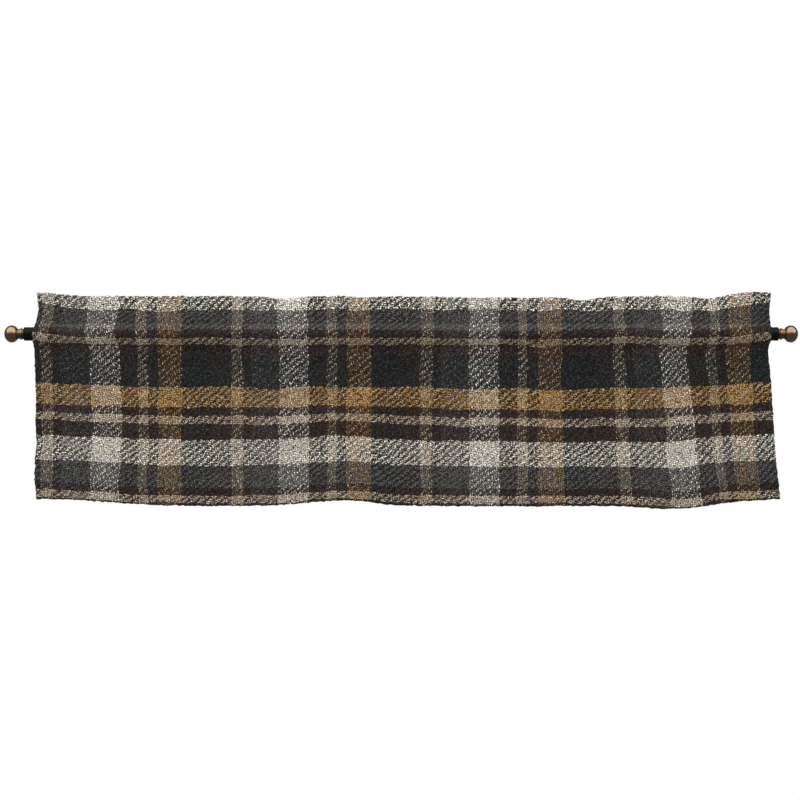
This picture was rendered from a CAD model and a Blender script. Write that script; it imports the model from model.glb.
# %% [markdown]
# # A plaid valance on a black curtain rod
#
# The object is a short window curtain: one heavy woven cloth with its hem turned up behind,
# a header that stands above the rod, and a pocket that the rod runs through. The rod is
# plain and black, and a turned brass ball closes each end. This lesson dresses the packed
# model: the cloth is made again on finer folds with its weave, the turned parts get round
# forms and worn metal, and the sewing is laid on by Geometry Nodes.

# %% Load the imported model
import math

import bpy
import numpy as np
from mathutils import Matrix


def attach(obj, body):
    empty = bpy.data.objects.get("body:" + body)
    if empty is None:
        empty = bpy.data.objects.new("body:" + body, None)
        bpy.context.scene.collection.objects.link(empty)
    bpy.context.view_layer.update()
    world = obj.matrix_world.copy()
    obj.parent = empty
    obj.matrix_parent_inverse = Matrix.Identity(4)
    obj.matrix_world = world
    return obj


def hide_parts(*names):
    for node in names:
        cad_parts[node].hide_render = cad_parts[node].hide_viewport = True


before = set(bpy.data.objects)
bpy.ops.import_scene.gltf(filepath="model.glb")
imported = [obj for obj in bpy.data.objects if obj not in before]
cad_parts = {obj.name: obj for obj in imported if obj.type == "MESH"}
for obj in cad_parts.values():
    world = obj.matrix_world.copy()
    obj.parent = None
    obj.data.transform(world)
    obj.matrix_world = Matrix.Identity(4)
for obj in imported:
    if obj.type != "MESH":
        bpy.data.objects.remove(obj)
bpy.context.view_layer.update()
MM = 0.001

# %% [markdown]
# Every finish below is a small tree of nodes. Two helpers keep the trees readable. The first
# turns the sRGB hex value that a paint chart gives into the linear numbers that light
# works in. The second adds one node of any kind, sets its properties, links or fills
# its inputs in their order, and hands back the output that the next node needs.

# %% Helpers for colours and nodes
def linear(hex_colour):
    """An sRGB hex value as linear RGBA."""
    parts = [int(hex_colour[i:i + 2], 16) / 255.0 for i in (1, 3, 5)]
    return [c / 12.92 if c <= 0.04045 else ((c + 0.055) / 1.055) ** 2.4 for c in parts] + [1.0]


def add_node(tree, kind, *values, out=0, named=None, **settings):
    """Add a node: settings are its properties, values its inputs in order (None leaves one
    as it is), named its inputs by name. Gives the output asked for, or the node itself."""
    node = tree.nodes.new(kind)
    for name, value in settings.items():
        setattr(node, name, value)
    for key, value in [*enumerate(values), *(named or {}).items()]:
        if isinstance(value, bpy.types.NodeSocket):
            tree.links.new(value, node.inputs[key])
        elif value is not None:
            node.inputs[key].default_value = value
    return node if out is None else node.outputs[out]


def new_finish(name):
    """An empty material with its node tree."""
    finish = bpy.data.materials.new(name)
    finish.use_nodes = True
    finish.node_tree.nodes.clear()
    return finish, finish.node_tree


# %% [markdown]
# The photograph looks at the valance straight on, from far enough away that it shows no
# depth. A 100 mm lens at 4.1 m gives that view: one pixel of the 800 is 1.84 mm on the cloth.
# The picture's middle lies 122 mm under the rod.

# %% Camera
VIEW_X, VIEW_Z, VIEW_BACK = -0.0022, -0.1219, 4.1007
camera_data = bpy.data.cameras.new("front_camera")
camera_data.lens, camera_data.sensor_width = 100.0, 36.0
camera = bpy.data.objects.new("front_camera", camera_data)
camera.location = (VIEW_X, -VIEW_BACK, VIEW_Z)
camera.rotation_euler = (math.pi / 2, 0.0, 0.0)
bpy.context.scene.collection.objects.link(camera)
bpy.context.scene.camera = camera
print("camera covers", round(VIEW_BACK * 36.0 / 100.0, 3), "m at the cloth")

# %% [markdown]
# The light is one very long soft box overhead, a little in front, with weak light from all
# round. It could be built from area lamps, but a long strip of light drawn in the world is
# softer and shows the same on both brass balls, far apart as they are. Two weak lamps help
# it: a strip above in front makes the header a little brighter than the hem, and one behind
# fills the back. The camera sees the world as plain white paper. A pale floor lies well below.

# %% Light, backdrop and floor
BOX_TOWARDS = (0.0, -0.454, 0.891)  # direction of the soft box's middle line, 63 degrees up
BOX_EDGE, BOX_CORE = 0.66, 0.90  # across the box: cosines of where it starts and is full
END_EDGE, END_CORE = 0.90, 0.78  # along the box: squares of the sines of the same angles
BOX_LIGHT, ROOM_LIGHT = 2.12, 0.15
LAMP_LONG = 3.4  # metres
LAMPS = (
    ("strip_lamp", (0.0, -0.75, 1.05), 0.35, 5.0), ("back_fill_lamp", (0.0, 1.5, 0.7), 0.8, 14.0),
)  # (name, place, width in metres, watts)
FLOOR_Z, FLOOR_HALF = -1.15, 1.6

scene = bpy.context.scene
scene.view_settings.view_transform = "Standard"
studio = bpy.data.worlds.new("white_studio")
scene.world = studio
studio.use_nodes = True
sky = studio.node_tree
sky.nodes.clear()
towards = add_node(sky, "ShaderNodeTexCoord", out="Generated")
from_side = add_node(sky, "ShaderNodeVectorMath", towards, (0.0, 1.0, 1.0), operation="MULTIPLY")
from_side = add_node(sky, "ShaderNodeVectorMath", from_side, operation="NORMALIZE")
near_line = add_node(sky, "ShaderNodeVectorMath", from_side, BOX_TOWARDS,
                     operation="DOT_PRODUCT", out="Value")
sideways_part = add_node(sky, "ShaderNodeSeparateXYZ", towards, out="X")
squared = add_node(sky, "ShaderNodeMath", sideways_part, sideways_part, operation="MULTIPLY")
in_width = add_node(sky, "ShaderNodeMapRange", near_line, BOX_EDGE, BOX_CORE,
                    interpolation_type="SMOOTHSTEP")
in_length = add_node(sky, "ShaderNodeMapRange", squared, END_EDGE, END_CORE,
                     interpolation_type="SMOOTHSTEP")
inside = add_node(sky, "ShaderNodeMath", in_width, in_length, operation="MULTIPLY")
in_box = add_node(sky, "ShaderNodeMapRange", inside, 0.0, 1.0, ROOM_LIGHT, BOX_LIGHT)
seen = add_node(sky, "ShaderNodeLightPath", out="Is Camera Ray")
paper = add_node(sky, "ShaderNodeBackground", (1.0, 1.0, 1.0, 1.0), 1.0)
glow = add_node(sky, "ShaderNodeBackground", (1.0, 1.0, 1.0, 1.0), in_box)
both = add_node(sky, "ShaderNodeMixShader", seen, glow, paper)
add_node(sky, "ShaderNodeOutputWorld", both, out=None)

for name, at, wide, watts in LAMPS:
    lamp_data = bpy.data.lights.new(name, "AREA")
    lamp_data.shape, lamp_data.size, lamp_data.size_y = "RECTANGLE", LAMP_LONG, wide
    lamp_data.energy = watts
    lamp = bpy.data.objects.new(name, lamp_data)
    lamp.location = at
    lamp.rotation_euler = (math.atan2(-at[1], at[2] - VIEW_Z), 0.0, 0.0)
    lamp.visible_camera = lamp.visible_glossy = False
    scene.collection.objects.link(lamp)

floor_mesh = bpy.data.meshes.new("floor")
floor_mesh.from_pydata([(sx * FLOOR_HALF, sy * FLOOR_HALF, FLOOR_Z)
                        for sx, sy in ((-1, -1), (1, -1), (1, 1), (-1, 1))], [], [(0, 1, 2, 3)])
floor = bpy.data.objects.new("floor", floor_mesh)
scene.collection.objects.link(floor)
floor_paint, tree = new_finish("pale_floor_paint")
matt = add_node(tree, "ShaderNodeBsdfPrincipled",
                named={"Base Color": linear("#e9e9e7"), "Roughness": 0.9})
add_node(tree, "ShaderNodeOutputMaterial", matt, out=None)
floor_mesh.materials.append(floor_paint)
floor.visible_glossy = False  # polished parts see only the studio
print("floor at", FLOOR_Z, "m, soft box towards", BOX_TOWARDS)

# %% [markdown]
# The cloth follows the same sizes as the solid that it stands for. The top line and the
# bottom edge rise and dip by a few soft bells, each side edge wavers, and each fold is a
# ridge or a trough with its own place, width and depth at the top, in the middle and at
# the hem. A cloth simulation could hang it, but this cloth is stiff and nearly flat, and
# its folds are known one by one, so placing them by hand keeps them true.

# %% Sizes of the cloth, in millimetres
THICK, LAYER = 2.2, 2.9  # of the sheet; between the middles of two layers sewn together
LEFT, RIGHT = -674.0, 681.0
TOP_Z, HEM_Z = 70.6, -318.2
HEAD_SEAM_Z, LOW_SEAM_Z = 21.0, -21.5
HEM_TURN, TAIL, BEND, SEAM_EASE = 27.0, 9.0, 3.0, 4.0
HEM_SEAM_IN = 4.0  # from the turned hem's raw edge down to its row of sewing
HEADER_LEAN, LEAN_FROM = 6.0, 0.45  # backward over its height; its share forward at the seam
FAN_FROM, FAN_OVER, WAVER = 230.0, 250.0, 114.0
POCKET = (
    (2.4, -20.6), (7.7, -14.6), (12.8, -8.0), (14.5, -2.5),
    (14.2, 3.8), (11.9, 9.6), (8.3, 14.4),
)  # (in front of the axis, z)
HEM_LIFTS = (
    (-657.0, 166.0, 155.0, 12.6), (-99.0, 99.0, 62.0, 11.0),
    (486.0, 65.0, 65.0, -6.3), (722.0, 147.0, 60.0, 14.5),
)  # (x, width to the left, width to the right, lift)
TOP_RISES = (
    (-670.0, 50.0, 6.5), (-216.0, 33.0, -4.4), (-70.0, 22.0, -2.6), (219.0, 166.0, -3.3),
    (338.0, 26.0, -5.5), (569.0, 26.0, -5.0), (652.0, 52.0, 7.5),
)  # (x, width, rise)
SIDE_MOVES = (
    (-312.0, -1.6, 17.0), (-270.0, 2.6, 13.5), (-232.0, 2.0, 8.8), (-196.0, -0.6, 6.2),
    (-159.0, 0.8, 4.5), (-122.0, -0.5, 2.5), (-85.0, 1.0, 0.5), (-48.0, 1.6, -3.0),
    (-28.0, 3.0, -4.5), (-20.0, 4.0, -2.5), (-8.0, 4.8, 0.0), (8.0, 3.0, 0.0),
    (26.0, -1.0, -1.0), (44.0, -5.8, -2.5), (62.0, -3.5, -1.0), (78.0, -2.0, 1.0),
)  # (z, left edge outward, right edge outward)
FOLDS = (
    (-645.0, -650.0, 55.0, 7.0, 1.0, -4.0), (-574.0, -572.0, 55.0, 1.0, -6.0, -4.0),
    (-430.0, -415.0, 85.0, -2.0, 4.0, 10.0), (-216.0, -240.0, 60.0, -9.0, 2.0, 3.0),
    (-152.0, -160.0, 45.0, 3.0, -5.0, -5.0), (-90.0, -97.0, 60.0, 2.0, 3.0, 15.0),
    (10.0, 5.0, 70.0, -2.0, -3.0, -9.0), (112.0, 120.0, 70.0, 3.0, 6.0, 5.0),
    (240.0, 245.0, 65.0, 2.0, 3.0, 8.0), (338.0, 352.0, 45.0, -10.0, -4.0, -6.0),
    (415.0, 425.0, 40.0, 2.0, -4.0, -3.0), (505.0, 522.0, 48.0, 3.0, 9.0, 11.0),
    (572.0, 600.0, 38.0, -9.0, -8.0, -8.0), (672.0, 690.0, 52.0, 11.0, 3.0, 12.0),
)  # (x at the top, x at the hem, width, forward at the top, in the middle, at the hem)


def bell(x, at, left, right):
    """Bell of height 1 at one place, with its own width to each side."""
    return np.exp(-(((x - at) / np.where(x < at, left, right)) ** 2))


def ease(t):
    """Smooth step from 0 to 1."""
    t = np.clip(t, 0.0, 1.0)
    return t * t * (3.0 - 2.0 * t)


def hem_lift(x):
    """How far the bottom edge stands above its lowest level."""
    return sum(lift * bell(x, at, wl, wr) for at, wl, wr, lift in HEM_LIFTS)


def top_line(x):
    """Height of the header's upper edge."""
    return TOP_Z + sum(rise * bell(x, at, w, w) for at, w, rise in TOP_RISES)


def sideways(x, z):
    """Move of the cloth along the rod: the left edge wavers, the right part fans out."""
    heights, left, right = np.array(SIDE_MOVES).T
    return (np.interp(z, heights, right) * ease((x - FAN_FROM) / FAN_OVER)
            - np.interp(z, heights, left) * ease((LEFT + WAVER - x) / WAVER))


def forward(x, z):
    """How far the folds stand in front of the flat cloth at x, z."""
    height = (z - HEAD_SEAM_Z) / (TOP_Z - HEAD_SEAM_Z)
    up = ease(height)
    down = np.clip((LOW_SEAM_Z - z) / (LOW_SEAM_Z - HEM_Z), 0.0, 1.1)
    mid = 4.0 * down * np.clip(1.0 - down, 0.0, 1.0)  # 1 half-way down, 0 at both ends
    out = np.where(height > -0.01, HEADER_LEAN * (LEAN_FROM - height), 0.0)
    for x_top, x_hem, width, top, middle, hem in FOLDS:
        at = x_top + (x_hem - x_top) * down
        out += (top * up + middle * mid + hem * down**1.5) * bell(x, at, width, width)
    return out


x_try = np.linspace(LEFT, RIGHT, 500)
print("bottom edge from", round(float((HEM_Z + hem_lift(x_try)).min()), 1), "to",
      round(float((HEM_Z + hem_lift(x_try)).max()), 1), "mm")

# %% [markdown]
# A woven cloth is a grid of two sets of yarns: the warp runs from the hem up to the header,
# and the weft runs across it. This one is a balanced 2/2 twill of thick chenille yarn, in
# which each yarn goes over two and under two and each row steps by one, so slanting
# ribs rise to the right. The check comes from the order of the coloured yarns alone, and
# both orders here are plain common stripes. The tables count yarns, as a weaver's
# chart does, starting at a cream stripe of the warp and at a tan stripe of the weft. The
# warp's cream is a shade paler than the weft's.

# %% The weaver's chart
YARN = {
    "pale cream": "#dad4c8", "cream": "#d0cabe", "gold": "#b08b57", "tan": "#b09e86",
    "brown": "#3a2a23", "grey": "#5a5856", "black": "#222527",
}
WARP = (
    ("pale cream", 15), ("brown", 9), ("tan", 5), ("brown", 5), ("gold", 12),
    ("black", 15), ("brown", 10), ("tan", 6), ("brown", 4), ("grey", 14),
)  # from left to right
WEFT = (
    ("tan", 5), ("brown", 5), ("grey", 14), ("cream", 15), ("brown", 9),
    ("tan", 5), ("brown", 5), ("gold", 12), ("black", 19), ("brown", 6),
)  # from the bottom up
REPEAT = sum(count for _, count in WARP)
WARP_STEP, WEFT_STEP = 3.69, 3.113  # from yarn to yarn, in millimetres
WARP_START, WEFT_START = -576.0, 3.9  # a cream stripe's left side; a tan stripe's lower side
assert REPEAT == sum(count for _, count in WEFT)
print("one repeat is", round(REPEAT * WARP_STEP), "by", round(REPEAT * WEFT_STEP), "mm")

# %% [markdown]
# The yarns don't run dead straight on the hanging cloth. Where the bottom edge lifts, the
# weft below the gold stripe lifts with it; at both ends the weft bows up; and the warp
# leans a little here and there. These few numbers say so. The mesh carries the result as an
# attribute: how far along and up the flat cloth each point was, in millimetres, which the
# weave's nodes read. So the weave bends with the cloth from every side.

# %% How the yarns drift on the hanging cloth
LIFT_SHARE = ((-318.0, 1.0), (-240.0, 0.87), (-193.0, 0.75), (-149.0, 0.5), (-98.0, 0.0))
SETTLING = (
    (-305.0, 0.4), (-277.0, -3.2), (-238.0, -4.0), (-192.0, -3.8), (-148.0, -2.9), (-94.0, -2.9),
    (-20.0, -1.3), (-6.0, -1.3), (42.0, -5.3), (62.0, -1.0),
)  # (z, lift) of the weft all along the cloth
WEFT_DRIFTS = (
    (-690.0, 52.0, ((-318.0, 0.0), (-240.0, 1.3), (-193.0, 2.1), (-149.0, 3.7), (-96.0, 10.5))),
    (-585.0, 60.0, ((-240.0, -1.5), (-130.0, 0.0), (-94.0, 3.5), (0.0, 4.0), (20.0, 2.0),
                    (40.0, 0.0))),
    (-535.0, 35.0, ((-200.0, 0.0), (-148.0, 2.0), (-94.0, 2.5), (-60.0, 0.0))),
    (-356.0, 32.0, ((-190.0, 0.0), (-148.0, 1.8), (-94.0, 2.5), (-60.0, 0.0))),
    (-157.0, 42.0, ((-148.0, 0.0), (-94.0, 2.5), (-60.0, 0.0))),
    (-245.0, 28.0, ((-150.0, 0.0), (-94.0, -4.5), (-20.0, -2.5), (0.0, -2.5), (20.0, 0.0))),
    (130.0, 60.0, ((-290.0, 0.0), (-240.0, -2.2), (-130.0, -2.5), (-94.0, -4.5), (-60.0, -1.0),
                   (-20.0, 0.0))),
    (153.0, 24.0, ((-40.0, 0.0), (-20.0, -2.0), (5.0, -3.5), (40.0, 0.0))),
    (265.0, 40.0, ((-80.0, 0.0), (-40.0, -4.0), (0.0, -4.5), (40.0, -2.0), (55.0, 0.0))),
    (292.0, 75.0, ((-318.0, 0.0), (-240.0, -3.6), (-165.0, -6.0), (-96.0, -6.0), (-40.0, -1.2),
                   (-20.0, 0.0))),
    (418.0, 35.0, ((-290.0, 0.0), (-240.0, -3.0), (-130.0, -2.0), (-80.0, 0.0))),
    (418.0, 28.0, ((-60.0, 0.0), (-20.0, 4.0), (5.0, 5.0), (40.0, 0.0))),
    (595.0, 24.0, ((-190.0, 0.0), (-140.0, 1.4), (-94.0, 4.5), (-60.0, 0.0))),
    (530.0, 45.0, ((-290.0, 0.0), (-240.0, 3.5), (-130.0, 3.0), (-80.0, 0.0))),
    (690.0, 66.0, ((-318.0, 0.0), (-240.0, 1.3), (-193.0, 2.1), (-149.0, 3.7), (-96.0, 10.5))),
)  # (x, width, ((z, lift), ...))
WARP_LEANS = (
    (-450.0, 120.0, ((-318.0, 2.0), (78.0, 2.0))),
    (60.0, 50.0, ((-318.0, -2.0), (-30.0, -2.0), (0.0, 0.5), (78.0, 1.5))),
    (-229.0, 60.0, ((-40.0, 0.0), (0.0, -4.0), (78.0, -2.0))),
    (-61.0, 40.0, ((-40.0, 0.0), (0.0, -3.0), (78.0, -2.5))),
    (528.0, 32.0, ((-140.0, -1.0), (-100.0, -3.5), (-66.0, -6.0), (-30.0, -4.0), (10.0, 0.0))),
    (-551.0, 90.0, ((-269.0, -1.0), (-177.0, 5.0), (-66.0, 0.5), (-30.0, 0.5), (7.0, -9.0),
                    (44.0, -4.0))),
    (415.0, 120.0, ((-269.0, 6.0), (-177.0, 5.5), (-66.0, 5.5), (7.0, 5.0), (44.0, 5.0))),
    (560.0, 70.0, ((-269.0, 5.0), (-177.0, 3.0), (-66.0, 0.0), (7.0, 3.0), (44.0, 5.0))),
)  # (x, width, ((z, lean to the right), ...))


def share(z, table):
    """Value at a height, from a table of (z, value)."""
    heights, values = np.array(table).T
    return np.interp(z, heights, values)


def weft_lift(x, z):
    """How far a weft yarn lies above its level place, less the part that follows the hem."""
    return share(z, SETTLING) + sum(share(z, table) * bell(x, at, w, w)
                                    for at, w, table in WEFT_DRIFTS)


def warp_lean(x, z):
    """How far a warp yarn has moved to the right of its straight place."""
    return sum(share(z, table) * bell(x, at, w, w) for at, w, table in WARP_LEANS)


print("weft lift at the left end by the rod:", round(float(weft_lift(np.array(LEFT), 0.0)), 1), "mm")

# %% [markdown]
# The sheet is drawn as rows of points along its middle: up the turned hem, round the bottom
# edge, up the front, over the rod, up the header, and down behind. There is one column
# of points for each warp yarn. Small uneven moves are added where real cloth has them:
# a slow crumple, puckers that fan out from the pocket's lower seam, a dip in the thickness
# at each row of sewing, and the bumps of the thick yarns along every edge.

# %% Rows of the cloth's middle
PANEL_ROWS, HEADER_ROWS = 66, 12
CRUMPLE, PUCKER, YARN_BUMP, EDGE_BUMP = 0.9, 1.1, 0.16, 0.5  # heights, in millimetres
YARN_WANDER, SEAM_DRAG = 0.9, 1.1  # of the yarns in the flat cloth; more at the pocket's seam
COLUMNS = int(round((RIGHT - LEFT) / WARP_STEP)) + 1


def soft_random(seed, shortest, longest, waves=14):
    """A smooth random field of spread 1: sine waves of many directions, lengths in mm."""
    rng = np.random.default_rng(seed)
    length = np.exp(rng.uniform(math.log(shortest), math.log(longest), waves))
    turn, phase = rng.uniform(0.0, 2.0 * math.pi, (2, waves))

    def field(x, z):
        return sum(np.sin(2.0 * math.pi * (x * math.cos(a) + z * math.sin(a)) / w + p)
                   for w, a, p in zip(length, turn, phase)) / math.sqrt(waves / 2.0)
    return field


crumple, pucker_along, pucker_size = (
    soft_random(3, 45.0, 140.0), soft_random(5, 9.0, 17.0), soft_random(7, 30.0, 90.0))


def through(points, steps):
    """A smooth line through the points, with so many steps between two of them."""
    p = np.array([points[0], *points, points[-1]], float)
    line = []
    for a, b, c, d in zip(p, p[1:], p[2:], p[3:]):
        for t in np.arange(steps) / steps:
            line.append(0.5 * (2 * b + (c - a) * t + (2 * a - 5 * b + 4 * c - d) * t**2
                               + (3 * b - a - 3 * c + d) * t**3))
    return np.array([*line, p[-1]])


x = np.linspace(LEFT, RIGHT, COLUMNS)
half, hem, top = LAYER / 2.0, HEM_Z + hem_lift(x), top_line(x) - BEND
rows, marks = [], {}


def add_row(layer, z, on_rod=False):
    """One row: layer is in front of the flat cloth; near the rod the folds are left out."""
    z = z + np.zeros_like(x)
    rows.append((layer + (0.0 * x if on_rod else forward(x, z)), z))


for up in (HEM_TURN, 23.5, 20.0, 16.0, 12.0, 8.0, BEND + 1.5):
    add_row(-half, hem + up)
for turn in np.radians((0.0, 40.0, 90.0, 140.0, 180.0)):
    add_row(-half * math.cos(turn), hem + BEND - half * math.sin(turn))
marks["hem"] = len(rows) - 3
for t in np.linspace(0.0, 1.0, PANEL_ROWS + 1)[1:]:
    add_row(half, (hem + SEAM_EASE) * (1.0 - t) + (LOW_SEAM_Z - SEAM_EASE) * t)
marks["low seam"] = len(rows)
over_rod = through(((half, LOW_SEAM_Z - SEAM_EASE), *POCKET, (half, HEAD_SEAM_Z)), 2)[1:-1]
for out, z in over_rod:
    add_row(out, z, on_rod=True)
marks["head seam"] = len(rows)
for t in np.linspace(0.0, 1.0, HEADER_ROWS):
    add_row(half, HEAD_SEAM_Z + (top - HEAD_SEAM_Z) * t)
for turn in np.radians((45.0, 90.0, 135.0)):
    add_row(half * math.cos(turn), top + half * math.sin(turn))
marks["top"] = len(rows) - 2
for t in np.linspace(1.0, 0.0, 8):
    add_row(-half, HEAD_SEAM_Z + (top - HEAD_SEAM_Z) * t)
marks["head seam behind"] = len(rows) - 1
for out, z in reversed(POCKET):
    add_row(-out, z, on_rod=True)
marks["low seam behind"] = len(rows) - 1
for down in (SEAM_EASE, 6.5, TAIL):
    add_row(-half, LOW_SEAM_Z - down)
OUT, Z = (np.array(part) for part in zip(*rows))
X = np.tile(x, (len(rows), 1))
print(len(rows), "rows of", COLUMNS, "points;", marks)

# %% [markdown]
# The flat place of each point comes next: its distance along the cloth from the bottom
# edge, put right for the lifts above. Behind the top line the yarns simply go on, so the
# correction there keeps the value it has at the top.

# %% Place of each point on the flat cloth
step = np.hypot(np.diff(OUT, axis=0), np.diff(Z, axis=0))
along = np.vstack([np.zeros(COLUMNS), np.cumsum(step, axis=0)])
along -= along[marks["hem"]]
settle = hem_lift(X) * (1.0 - share(Z, LIFT_SHARE)) - weft_lift(X, Z)
lean = warp_lean(X, Z)
settle[:marks["hem"]], lean[:marks["hem"]] = settle[marks["hem"]], lean[marks["hem"]]
settle[marks["top"]:], lean[marks["top"]:] = settle[marks["top"]], lean[marks["top"]]
FLAT_U = X - lean + YARN_WANDER * soft_random(11, 50.0, 160.0)(X, along)
FLAT_V = along + settle + YARN_WANDER * soft_random(13, 50.0, 160.0)(X, along)
near_low = np.exp(-((Z - LOW_SEAM_Z) / 9.0) ** 2)
FLAT_V += SEAM_DRAG * near_low * soft_random(17, 14.0, 40.0)(X, 0.3 * Z)

# %% [markdown]
# Now the middle is moved by the crumple and the puckers, pushed off by half the thickness
# to each side along its own normals, and closed at its four edges. The good side of
# the cloth is always the outer one, and gets the bumps of the yarns.

# %% The cloth's closed mesh
rng = np.random.default_rng(23)
front = np.zeros_like(Z)
front[marks["hem"]:marks["top"] + 1] = 1.0
off_rod = 1.0 - np.exp(-((Z - 0.5 * (HEAD_SEAM_Z + LOW_SEAM_Z)) / 26.0) ** 2)
wave = CRUMPLE * crumple(X, Z) * off_rod
strength = np.clip(0.75 + 0.45 * pucker_size(X, 0.0 * Z), 0.15, 1.6)
# the puckers fade over 13 mm under the pocket's seam and over 8 mm above it
below = np.exp(-np.clip(LOW_SEAM_Z - 5.0 - Z, 0.0, None) / 13.0) * (Z < LOW_SEAM_Z - 4.0)
above = np.exp(-np.clip(Z - LOW_SEAM_Z - 5.0, 0.0, None) / 8.0)
above *= (Z > LOW_SEAM_Z + 4.0) & (Z < 6.0)
gathers = 0.5 + 0.5 * pucker_along(X, 0.25 * Z)
wave += PUCKER * strength * front * (below + 0.8 * above) * gathers
OUT = OUT + wave

edge_z, edge_x = rng.normal(0.0, EDGE_BUMP, COLUMNS), rng.normal(0.0, EDGE_BUMP, (len(rows), 2))
ROUGH_Z = np.zeros_like(Z)
for mark, sign in (("hem", -1.0), ("top", 1.0)):
    for near, part in ((0, 1.0), (1, 0.8), (2, 0.5)):
        for row in {marks[mark] - near, marks[mark] + near}:
            ROUGH_Z[row] += part * sign * np.roll(edge_z, 7 if sign > 0 else 0)
POINTS = np.stack([X + sideways(X, Z), -OUT, Z + ROUGH_Z], axis=-1)
POINTS[:, 0, 0] += edge_x[:, 0]
POINTS[:, -1, 0] += edge_x[:, 1]
normal = np.cross(np.gradient(POINTS, axis=1), np.gradient(POINTS, axis=0))
normal /= np.linalg.norm(normal, axis=-1, keepdims=True)

thickness = THICK / 2.0 * np.ones_like(Z)
for pinch, z_seam in ((0.38, LOW_SEAM_Z), (0.12, HEAD_SEAM_Z)):
    thickness *= 1.0 - pinch * np.exp(-((Z - z_seam) / 2.6) ** 2)
hem_row = HEM_Z + hem_lift(X) + HEM_TURN - HEM_SEAM_IN
thickness *= 1.0 - 0.25 * np.exp(-((Z - hem_row) / 2.4) ** 2)
bump = rng.normal(0.0, YARN_BUMP, Z.shape)
GOOD = POINTS + normal * (thickness + np.clip(bump, -0.3, 0.4))[..., None]
WRONG = POINTS - normal * thickness[..., None]

row_count = len(rows)
index = np.arange(row_count * COLUMNS).reshape(row_count, COLUMNS)
back = index + index.size
quads = [
    np.stack([index[:-1, :-1], index[:-1, 1:], index[1:, 1:], index[1:, :-1]], -1),
    np.stack([back[1:, :-1], back[1:, 1:], back[:-1, 1:], back[:-1, :-1]], -1),
    np.stack([index[0, 1:], index[0, :-1], back[0, :-1], back[0, 1:]], -1),
    np.stack([index[-1, :-1], index[-1, 1:], back[-1, 1:], back[-1, :-1]], -1),
    np.stack([index[:-1, 0], index[1:, 0], back[1:, 0], back[:-1, 0]], -1),
    np.stack([index[1:, -1], index[:-1, -1], back[:-1, -1], back[1:, -1]], -1),
]
faces = np.concatenate([q.reshape(-1, 4) for q in quads])
cloth_mesh = bpy.data.meshes.new("plaid_valance")
cloth_mesh.from_pydata(np.concatenate([GOOD.reshape(-1, 3), WRONG.reshape(-1, 3)]) * MM,
                       [], faces.tolist())
cloth_mesh.shade_smooth()
flat = np.stack([FLAT_U - WARP_START, FLAT_V - WEFT_START, np.ones_like(Z)], -1).reshape(-1, 3)
weave_place = cloth_mesh.attributes.new("weave_place", "FLOAT_VECTOR", "POINT")
weave_place.data.foreach_set(
    "vector", np.concatenate([flat, flat * (1.0, 1.0, -1.0)]).astype(np.float32).ravel())
cloth = bpy.data.objects.new("plaid_valance", cloth_mesh)
scene.collection.objects.link(cloth)
print("cloth:", 2 * len(faces), "triangles")

# %% [markdown]
# **Chenille twill, yarn-dyed wool and acrylic look.** Chenille is a furry yarn: it takes
# light softly, with no gloss and a faint bloom at grazing angles, and its colour is
# never even along its length. The nodes build the weave as it is made. Both yarns go
# up and down as sine waves, each has a round back, and whichever stands higher at a spot is
# the one that shows. The fur of the yarn shifts the border between two of them, so the dots
# are ragged. The yarns are 3.7 and 3.1 mm apart, which is two pixels of the photograph, so
# the dots and ribs show and the fibres are only hinted at by noise.

# %% Finish of the cloth: the woven pattern
chenille, tree = new_finish("yarn_dyed_chenille_twill")
place = add_node(tree, "ShaderNodeAttribute", attribute_name="weave_place", out="Vector")
side = add_node(tree, "ShaderNodeSeparateXYZ", place, out="Z")
slow = add_node(tree, "ShaderNodeTexNoise", place, out="Color",
                named={"Scale": 0.035, "Detail": 1.0}, noise_dimensions="2D")
quick = add_node(tree, "ShaderNodeTexNoise", place, out="Color",
                 named={"Scale": 0.21, "Detail": 2.0, "Roughness": 0.6}, noise_dimensions="2D")
slow_move = add_node(tree, "ShaderNodeVectorMath", slow, (0.5, 0.5, 0.5), operation="SUBTRACT")
quick_move = add_node(tree, "ShaderNodeVectorMath", quick, (0.5, 0.5, 0.5), operation="SUBTRACT")
moved = add_node(tree, "ShaderNodeVectorMath", slow_move, (4.0, 4.0, 0.0), place,
                 operation="MULTIPLY_ADD")
moved = add_node(tree, "ShaderNodeVectorMath", quick_move, (5.5, 5.0, 0.0), moved,
                 operation="MULTIPLY_ADD")
yarns = add_node(tree, "ShaderNodeVectorMath", moved, (1.0 / WARP_STEP, 1.0 / WEFT_STEP, 0.0),
                 operation="MULTIPLY")
number = add_node(tree, "ShaderNodeVectorMath", yarns, operation="FLOOR")
within = add_node(tree, "ShaderNodeVectorMath", yarns, operation="FRACTION")
half_turn = add_node(tree, "ShaderNodeVectorMath", within, (math.pi, math.pi, 0.0),
                     operation="MULTIPLY")
back_round = add_node(tree, "ShaderNodeVectorMath", half_turn, operation="SINE")
across = add_node(tree, "ShaderNodeSeparateXYZ", yarns, out=None)
counted = add_node(tree, "ShaderNodeSeparateXYZ", number, out=None)
warp_phase = add_node(tree, "ShaderNodeMath", counted.outputs["X"], across.outputs["Y"],
                      operation="SUBTRACT")
weft_phase = add_node(tree, "ShaderNodeMath", across.outputs["X"], counted.outputs["Y"],
                      operation="SUBTRACT")
phases = add_node(tree, "ShaderNodeCombineXYZ", warp_phase, weft_phase)
angles = add_node(tree, "ShaderNodeVectorMath", phases, (math.pi / 2, math.pi / 2, 0.0),
                  (math.pi / 2, math.pi, 0.0), operation="MULTIPLY_ADD")
waves = add_node(tree, "ShaderNodeVectorMath", angles, operation="SINE")
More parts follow.
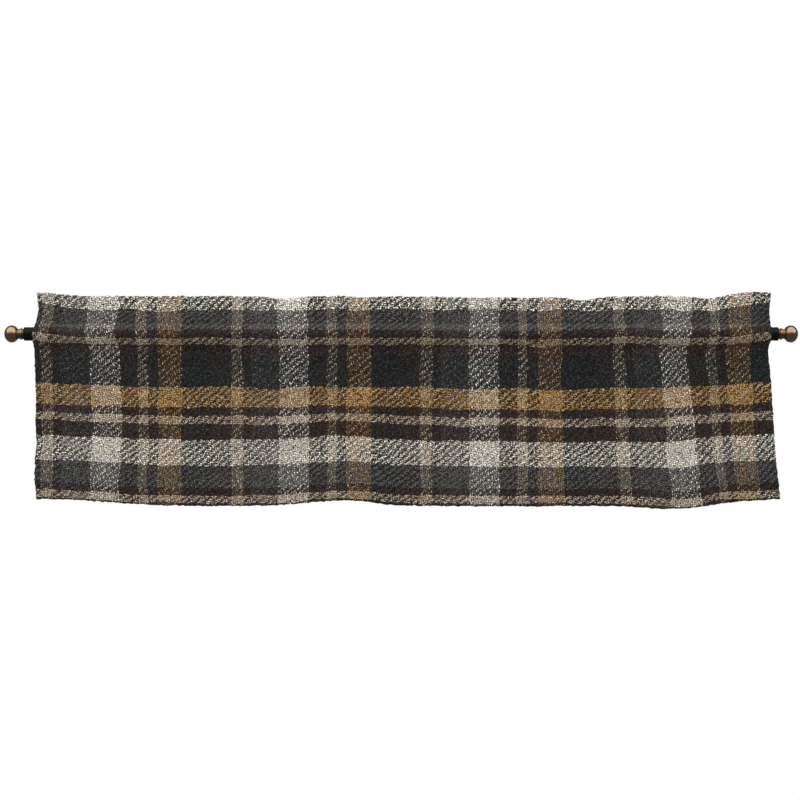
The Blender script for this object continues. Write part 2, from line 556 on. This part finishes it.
waves_here = add_node(tree, "ShaderNodeVectorMath", waves, operation="SCALE", named={"Scale": side})
WAVE_HEIGHT, WEFT_PROUD, WARP_THIN, FUZZ = 0.40, 0.26, 0.84, 8.5  # of a yarn's own height
backs = add_node(tree, "ShaderNodeVectorMath", back_round, (WARP_THIN, 1.0, 0.0),
                 operation="MULTIPLY")
raised = add_node(tree, "ShaderNodeVectorMath", waves_here, (WAVE_HEIGHT, WAVE_HEIGHT, 0.0),
                  backs, operation="MULTIPLY_ADD")
fur = add_node(tree, "ShaderNodeTexNoise", place, noise_dimensions="2D",
               named={"Scale": 0.42, "Detail": 1.0, "Roughness": 0.6})
fur_moves = add_node(tree, "ShaderNodeMath", fur, 0.5, operation="SUBTRACT")
fuzzy = add_node(tree, "ShaderNodeVectorMath", fur_moves, (-FUZZ / 2.0, FUZZ / 2.0, 0.0), raised,
                 operation="MULTIPLY_ADD")
heights = add_node(tree, "ShaderNodeSeparateXYZ", fuzzy, out=None)
weft_height = add_node(tree, "ShaderNodeMath", heights.outputs["Y"], WEFT_PROUD, operation="ADD")
lead = add_node(tree, "ShaderNodeMath", weft_height, heights.outputs["X"], operation="SUBTRACT")
weft_shows = add_node(tree, "ShaderNodeMapRange", lead, -0.06, 0.06)
relief = add_node(tree, "ShaderNodeMath", weft_height, heights.outputs["X"], operation="MAXIMUM")
print("weave nodes:", len(tree.nodes))

# %% [markdown]
# The colour of each yarn comes from its number in the chart, through one ramp of plain
# steps for the warp and one for the weft. Then a noise of each yarn's own gives the streaks
# that dyed chenille has. The same noise sets hue, strength and brightness, because a place
# that took more dye is darker and more orange, and one that took less is paler and duller.

# %% Finish of the cloth: colours of the yarns
middle = add_node(tree, "ShaderNodeVectorMath", number, (0.5, 0.5, 0.0), operation="ADD")
turns = add_node(tree, "ShaderNodeVectorMath", middle, (1.0 / REPEAT, 1.0 / REPEAT, 0.0),
                 operation="MULTIPLY")
in_repeat = add_node(tree, "ShaderNodeVectorMath", turns, operation="FRACTION")
chart = add_node(tree, "ShaderNodeSeparateXYZ", in_repeat, out=None)
STREAK_ALONG, STREAK_APART = 0.08, 5.3  # steps of the noise: a millimetre along, a yarn across
yarn_colours = []
for order, socket, seed in ((WARP, "X", 2.0), (WEFT, "Y", 31.0)):
    ramp = add_node(tree, "ShaderNodeValToRGB", chart.outputs[socket], out=None)
    ramp.color_ramp.interpolation = "CONSTANT"
    done = 0
    for n, (name, count) in enumerate(order):
        stops, position = ramp.color_ramp.elements, done / REPEAT
        stop = stops[0] if n == 0 else stops.new(position)
        stop.position, stop.color = position, linear(YARN[name])
        done += count
    while len(ramp.color_ramp.elements) > len(order):
        ramp.color_ramp.elements.remove(ramp.color_ramp.elements[-1])
    # along the yarn the place runs on, across it only the yarn's number counts
    keep = (0.0, 1.0, 0.0) if socket == "X" else (1.0, 0.0, 0.0)
    run = add_node(tree, "ShaderNodeVectorMath", moved, tuple(k * STREAK_ALONG for k in keep),
                   operation="MULTIPLY")
    own = add_node(tree, "ShaderNodeVectorMath", number,
                   tuple((1.0 - k) * STREAK_APART for k in keep), run, operation="MULTIPLY_ADD")
    streak = add_node(tree, "ShaderNodeTexNoise", own, noise_dimensions="4D",
                      named={"W": seed, "Scale": 1.0, "Detail": 4.0, "Roughness": 0.78})
    hue = add_node(tree, "ShaderNodeMapRange", streak, 0.3, 0.7, 0.52, 0.48)
    strong = add_node(tree, "ShaderNodeMapRange", streak, 0.3, 0.7, 0.5, 1.45)
    bright = add_node(tree, "ShaderNodeMapRange", streak, 0.3, 0.7, 1.25, 0.75)
    yarn_colours.append(add_node(tree, "ShaderNodeHueSaturation", hue, strong, bright, 1.0,
                                 ramp.outputs["Color"]))
woven = add_node(tree, "ShaderNodeMix", data_type="RGBA", out=2,
                 named={0: weft_shows, 6: yarn_colours[0], 7: yarn_colours[1]})
hidden = add_node(tree, "ShaderNodeMix", data_type="RGBA", out=2,
                  named={0: weft_shows, 6: yarn_colours[1], 7: yarn_colours[0]})
print("stripes:", len(WARP), "in the warp,", len(WEFT), "in the weft")

# %% [markdown]
# Between the yarns the cloth is deep and dark, and single fibres catch the light. The relief
# that picked the yarn also darkens the gaps and feeds the bump, with a fine noise
# for the fur of the chenille. A gap over a pale yarn is less dark, because that yarn shines
# through, so the power of the darkening comes from the brightness of the hidden yarn. A
# few stray pale fibres lie over everything. Roughness stays high all over, and a weak sheen
# gives the bloom at the edges of the folds.

# %% Finish of the cloth: gaps, fur and surface
fleck = add_node(tree, "ShaderNodeTexNoise", moved, noise_dimensions="2D",
                 named={"Scale": 0.7, "Detail": 1.0})
deep = add_node(tree, "ShaderNodeMapRange", relief, 1.0, 2.0, 0.0, 1.0)
shine = add_node(tree, "ShaderNodeRGBToBW", hidden)
power = add_node(tree, "ShaderNodeMapRange", shine, 0.0, 0.5, 1.05, 0.5)
deep = add_node(tree, "ShaderNodeMath", deep, power, operation="POWER")
flecks = add_node(tree, "ShaderNodeMapRange", fleck, 0.3, 0.7, 1.4, 2.1)
tone = add_node(tree, "ShaderNodeMath", deep, flecks, operation="MULTIPLY")
shaded = add_node(tree, "ShaderNodeVectorMath", woven, operation="SCALE", named={"Scale": tone})
stray = add_node(tree, "ShaderNodeTexNoise", place, noise_dimensions="2D",
                 named={"Scale": 0.24, "Detail": 2.0})
pale_fibres = add_node(tree, "ShaderNodeMapRange", stray, 0.5, 0.86, 0.0, 0.05)
shaded = add_node(tree, "ShaderNodeVectorMath", pale_fibres, (0.96, 1.0, 1.02), shaded,
                  operation="MULTIPLY_ADD")
height = add_node(tree, "ShaderNodeMath", fur, 0.5, relief, operation="MULTIPLY_ADD")
raised_yarn = add_node(tree, "ShaderNodeBump", out="Normal",
                       named={"Height": height, "Strength": 0.55, "Distance": 0.9 * MM})
body = add_node(tree, "ShaderNodeBsdfPrincipled",
                named={"Base Color": shaded, "Roughness": 0.95, "Normal": raised_yarn,
                       "Specular IOR Level": 0.2, "Sheen Weight": 0.08, "Sheen Roughness": 0.5})
add_node(tree, "ShaderNodeOutputMaterial", body, out=None)
cloth_mesh.materials.append(chenille)
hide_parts("valance_cloth")
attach(cloth, "root")
print("cloth finish has", len(tree.nodes), "nodes")

# %% [markdown]
# The rod is a plain tube with its two open ends closed by the finials. It is turned here from a
# profile, so that its ends get the small rounding that catches light. **Satin black paint
# on steel** is nearly black and reflects the soft box as one broad dull band; a faint
# noise in its roughness keeps the band from looking like plastic.

# %% The rod
ROD_R, ROD_HALF, ROD_EDGE = 12.5, 696.0, 1.8
ROD_SIDES, EDGE_STEPS = 96, 6


def turned(name, profile, sides, side=1):
    """A closed solid turned about the rod's axis from (distance along X, radius) in
    millimetres. The profile starts and ends on the axis; side -1 turns it to the left."""
    inner = [p for p in profile if p[1] > 1e-6]
    angle = np.arange(sides) * 2.0 * math.pi / sides
    points = [(side * a, r * math.sin(t), r * math.cos(t)) for a, r in inner for t in angle]
    points += [(side * profile[0][0], 0.0, 0.0), (side * profile[-1][0], 0.0, 0.0)]
    last, start, end = (len(inner) - 1) * sides, len(points) - 2, len(points) - 1
    faces = []
    for k in range(sides):
        n = (k + 1) % sides
        faces += [(ring + k, ring + n, ring + sides + n, ring + sides + k)
                  for ring in range(0, last, sides)]
        faces += [(start, n, k), (end, last + k, last + n)]
    faces = [f if side > 0 else f[::-1] for f in faces]
    mesh = bpy.data.meshes.new(name)
    mesh.from_pydata([tuple(c * MM for c in p) for p in points], [], faces)
    mesh.shade_smooth()
    mesh.set_sharp_from_angle(angle=math.radians(42.0))
    made = bpy.data.objects.new(name, mesh)
    scene.collection.objects.link(made)
    return made


corner = [(ROD_HALF - ROD_EDGE + ROD_EDGE * math.sin(t), ROD_R - ROD_EDGE + ROD_EDGE * math.cos(t))
          for t in np.linspace(0.0, math.pi / 2, EDGE_STEPS)]
rod_profile = ([(-ROD_HALF, 0.0)] + [(-a, r) for a, r in reversed(corner)]
               + corner + [(ROD_HALF, 0.0)])
rod = turned("black_rod", rod_profile, ROD_SIDES)

black_paint, tree = new_finish("satin_black_paint_on_steel")
spot = add_node(tree, "ShaderNodeTexCoord", out="Object")
orange_peel = add_node(tree, "ShaderNodeTexNoise", spot, named={"Scale": 420.0, "Detail": 3.0})
dull = add_node(tree, "ShaderNodeMapRange", orange_peel, 0.3, 0.7, 0.34, 0.46)
peel = add_node(tree, "ShaderNodeBump", out="Normal",
                named={"Height": orange_peel, "Strength": 0.12, "Distance": 0.2 * MM})
paint = add_node(tree, "ShaderNodeBsdfPrincipled",
                 named={"Base Color": linear("#0f0f10"), "Roughness": dull, "Normal": peel,
                        "Specular IOR Level": 0.1})
add_node(tree, "ShaderNodeOutputMaterial", paint, out=None)
rod.data.materials.append(black_paint)
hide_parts("curtain_rod")
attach(rod, "root")
print("rod:", len(rod.data.polygons), "faces")

# %% [markdown]
# Each finial is turned brass: a foot against the rod, a bead, a groove, a neck and the ball. It is
# the same profile at both ends. The mesh also keeps, point by point, how worn each place
# is: hands polish the ball and the bead's crest, and the dark patina stays in the grooves.

# %% The finials
FIT = 0.3
FOOT_R, FOOT_END, FOOT_EDGE = 9.4, 2.6, 0.5
BEAD_AT, BEAD_HALF, BEAD_CORE = 4.8, 1.8, 9.2
NECK_AT, NECK_END, NECK_R = 6.8, 11.1, 9.2
BALL_AT, BALL_HALF, BALL_R, BALL_FOOT_R = 22.6, 13.65, 15.95, 9.7
BALL_STEPS, BEAD_STEPS, FINIAL_SIDES = 56, 14, 96


def finial_profile():
    """(distance from the rod's end, radius) of the turned finial, from foot to tip."""
    points = [(FIT, 0.0), (FIT, FOOT_R - FOOT_EDGE)]
    points += [(FIT + FOOT_EDGE * (1 - math.cos(t)), FOOT_R - FOOT_EDGE * (1 - math.sin(t)))
               for t in np.linspace(0.3, math.pi / 2, 4)]
    points += [(FOOT_END - FOOT_EDGE * (1 - math.sin(t)), FOOT_R - FOOT_EDGE * (1 - math.cos(t)))
               for t in np.linspace(0.0, 1.3, 4)]
    points += [(BEAD_AT - BEAD_HALF * math.cos(a), BEAD_CORE + BEAD_HALF * math.sin(a))
               for a in np.radians(np.linspace(8.0, 172.0, BEAD_STEPS))]
    points += [(NECK_AT, NECK_R), (NECK_END, NECK_R)]
    start = math.asin(BALL_FOOT_R / BALL_R)
    points += [(BALL_AT - BALL_HALF * math.cos(a), BALL_R * math.sin(a))
               for a in np.linspace(start, math.pi, BALL_STEPS)[:-1]]
    return points + [(BALL_AT + BALL_HALF, 0.0)]


finials = []
for name, side in (("brass_finial_left", -1), ("brass_finial_right", 1)):
    finial = turned(name, [(ROD_HALF + a, r) for a, r in finial_profile()], FINIAL_SIDES, side)
    at = np.zeros(3 * len(finial.data.vertices))
    finial.data.vertices.foreach_get("co", at)
    at = at.reshape(-1, 3) / MM
    from_rod, radius = np.abs(at[:, 0]) - ROD_HALF, np.hypot(at[:, 1], at[:, 2])
    on_ball = ease((from_rod - 11.5) / 4.0)
    on_crest = ease((radius - BEAD_CORE - 0.7) / 0.9) * (from_rod < NECK_AT)
    worn = finial.data.attributes.new("worn", "FLOAT", "POINT")
    worn.data.foreach_set("value", np.maximum(on_ball, 0.8 * on_crest).astype(np.float32))
    finials.append(finial)
print("finial:", len(finials[0].data.polygons), "faces")

# %% [markdown]
# **Antique brass, turned and lacquered.** Brass is a metal, so its colour shows only in what it
# reflects: a pinkish tan where it faces the soft box, dark olive brown where it faces the
# dim room. The patina lies in soft blotches a few millimetres wide. It lowers the colour and
# raises the roughness together, and it is thickest in the grooves.

# %% Finish of the finials
brass, tree = new_finish("antique_brass_turned")
spot = add_node(tree, "ShaderNodeTexCoord", out="Object")
blotch = add_node(tree, "ShaderNodeTexNoise", spot,
                  named={"Scale": 170.0, "Detail": 4.0, "Roughness": 0.6})
speck = add_node(tree, "ShaderNodeTexNoise", spot,
                 named={"Scale": 900.0, "Detail": 2.0, "Roughness": 0.6})
wear = add_node(tree, "ShaderNodeAttribute", attribute_name="worn", out="Fac")
clean = add_node(tree, "ShaderNodeMath", wear, 0.42, blotch, operation="MULTIPLY_ADD")
clean = add_node(tree, "ShaderNodeMath", speck, 0.16, clean, operation="MULTIPLY_ADD")
patina = add_node(tree, "ShaderNodeMapRange", clean, 0.62, 1.18, 1.0, 0.0)
tint = add_node(tree, "ShaderNodeMix", data_type="RGBA", out=2,
                named={0: patina, 6: linear("#ac8e6d"), 7: linear("#6d4f30")})
dull = add_node(tree, "ShaderNodeMapRange", patina, 0.0, 1.0, 0.19, 0.40)
pits = add_node(tree, "ShaderNodeBump", out="Normal",
                named={"Height": speck, "Strength": 0.10, "Distance": 0.15 * MM})
metal = add_node(tree, "ShaderNodeBsdfPrincipled",
                 named={"Base Color": tint, "Metallic": 1.0, "Roughness": dull, "Normal": pits,
                        "Coat Weight": 0.8, "Coat Roughness": 0.12})
add_node(tree, "ShaderNodeOutputMaterial", metal, out=None)
for finial, node in zip(finials, ("finial_left", "finial_right")):
    finial.data.materials.append(brass)
    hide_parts(node)
    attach(finial, "root")
print("brass finish has", len(tree.nodes), "nodes")

# %% [markdown]
# Three rows of sewing hold the cloth: above and below the rod, and along the turned hem. Each shows
# on both sides. Stitches repeat along a line, which is what Geometry Nodes are good at:
# the tree takes the seam lines, sets points one stitch apart, and lays a small grain of
# thread on each, turned to run with the seam.

# %% Seam lines on the cloth's outer face
SEAM_SINK = 0.1  # the thread pulls this far into the soft cloth


def seam_line(first, last, height):
    """The points where each column's outer face reaches a height, between two rows."""
    part, line = slice(first, last + 1), []
    for column in range(2, COLUMNS - 2):
        p, n = GOOD[part, column], normal[part, column]
        order = np.argsort(p[:, 2])
        at = [np.interp(height[column], p[order, 2], (p - n * SEAM_SINK)[order, k]) for k in (0, 1)]
        line.append((at[0], at[1], height[column]))
    return np.array(line)


level = np.zeros(COLUMNS)
hem_seam = hem + HEM_TURN - HEM_SEAM_IN
lines = [
    seam_line(marks["hem"] + 2, marks["low seam"] - 1, hem_seam),
    seam_line(0, marks["hem"] - 2, hem_seam),
    seam_line(marks["low seam"] - 4, marks["low seam"] + 3, level + LOW_SEAM_Z),
    seam_line(marks["head seam"] - 3, marks["head seam"] + 3, level + HEAD_SEAM_Z),
    seam_line(marks["head seam behind"] - 2, marks["head seam behind"] + 2, level + HEAD_SEAM_Z),
    seam_line(marks["low seam behind"] - 1, len(rows) - 1, level + LOW_SEAM_Z),
]
seam_mesh = bpy.data.meshes.new("seam_lines")
seam_points, seam_edges = [], []
for line in lines:
    first = len(seam_points)
    seam_points += [tuple(p * MM) for p in line]
    seam_edges += [(k, k + 1) for k in range(first, len(seam_points) - 1)]
seam_mesh.from_pydata(seam_points, seam_edges, [])
print(len(lines), "rows of sewing,", len(seam_points), "points")

# %% Stitches by Geometry Nodes
THREAD_R, STITCH, STITCH_GAP = 0.38, 4.2, 1.0  # of a heavy sewing thread, in millimetres

dark_thread, tree = new_finish("dark_brown_polyester_thread")
spot = add_node(tree, "ShaderNodeTexCoord", out="Object")
twist = add_node(tree, "ShaderNodeTexNoise", spot, named={"Scale": 2600.0, "Detail": 1.0})
shade = add_node(tree, "ShaderNodeMapRange", twist, 0.3, 0.7, 0.6, 1.3)
dyed = add_node(tree, "ShaderNodeVectorMath", linear("#2b211e")[:3], operation="SCALE",
                named={"Scale": shade})
strand = add_node(tree, "ShaderNodeBsdfPrincipled",
                  named={"Base Color": dyed, "Roughness": 0.7, "Sheen Weight": 0.1})
add_node(tree, "ShaderNodeOutputMaterial", strand, out=None)

sewing = bpy.data.node_groups.new("rows_of_stitches", "GeometryNodeTree")
sewing.is_modifier = True
sewing.interface.new_socket("Geometry", in_out="INPUT", socket_type="NodeSocketGeometry")
sizes = {"Stitch length": (STITCH - STITCH_GAP) * MM, "Stitch pitch": STITCH * MM,
         "Thread radius": THREAD_R * MM}
idents = {}
for name in sizes:
    socket = sewing.interface.new_socket(name, in_out="INPUT", socket_type="NodeSocketFloat")
    idents[name] = socket.identifier
sewing.interface.new_socket("Geometry", in_out="OUTPUT", socket_type="NodeSocketGeometry")
given = add_node(sewing, "NodeGroupInput", out=None)
seam = add_node(sewing, "GeometryNodeMeshToCurve", given.outputs["Geometry"])
spaced = add_node(sewing, "GeometryNodeResampleCurve", seam, mode="LENGTH",
                  named={"Length": given.outputs["Stitch pitch"]})
tangent = add_node(sewing, "GeometryNodeInputTangent")
turned_along = add_node(sewing, "FunctionNodeAlignRotationToVector", axis="Z",
                        named={"Vector": tangent})
half_long = add_node(sewing, "ShaderNodeMath", given.outputs["Stitch length"], 0.5,
                     operation="MULTIPLY")
grain_size = add_node(sewing, "ShaderNodeCombineXYZ", given.outputs["Thread radius"],
                      given.outputs["Thread radius"], half_long)
grain = add_node(sewing, "GeometryNodeMeshUVSphere",
                 named={"Segments": 6, "Rings": 5, "Radius": 1.0})
laid = add_node(sewing, "GeometryNodeInstanceOnPoints", out="Instances",
                named={"Points": spaced, "Instance": grain, "Rotation": turned_along,
                       "Scale": grain_size})
real = add_node(sewing, "GeometryNodeRealizeInstances", laid)
coloured = add_node(sewing, "GeometryNodeSetMaterial", real, named={"Material": dark_thread})
add_node(sewing, "NodeGroupOutput", coloured, out=None)

guide = bpy.data.objects.new("seam_lines", seam_mesh)
scene.collection.objects.link(guide)
sewn = guide.modifiers.new("stitches", "NODES")
sewn.node_group = sewing
for name, value in sizes.items():
    sewn[idents[name]] = value
bpy.context.view_layer.update()
graph = bpy.context.evaluated_depsgraph_get()
thread_mesh = bpy.data.meshes.new_from_object(guide.evaluated_get(graph))
bpy.data.objects.remove(guide, do_unlink=True)
thread_mesh.name = "seam_thread"
thread_mesh.shade_smooth()
thread = bpy.data.objects.new("seam_thread", thread_mesh)
scene.collection.objects.link(thread)
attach(thread, "root")
print("stitches:", len(thread_mesh.polygons) // 30, "in", len(thread_mesh.polygons), "faces")
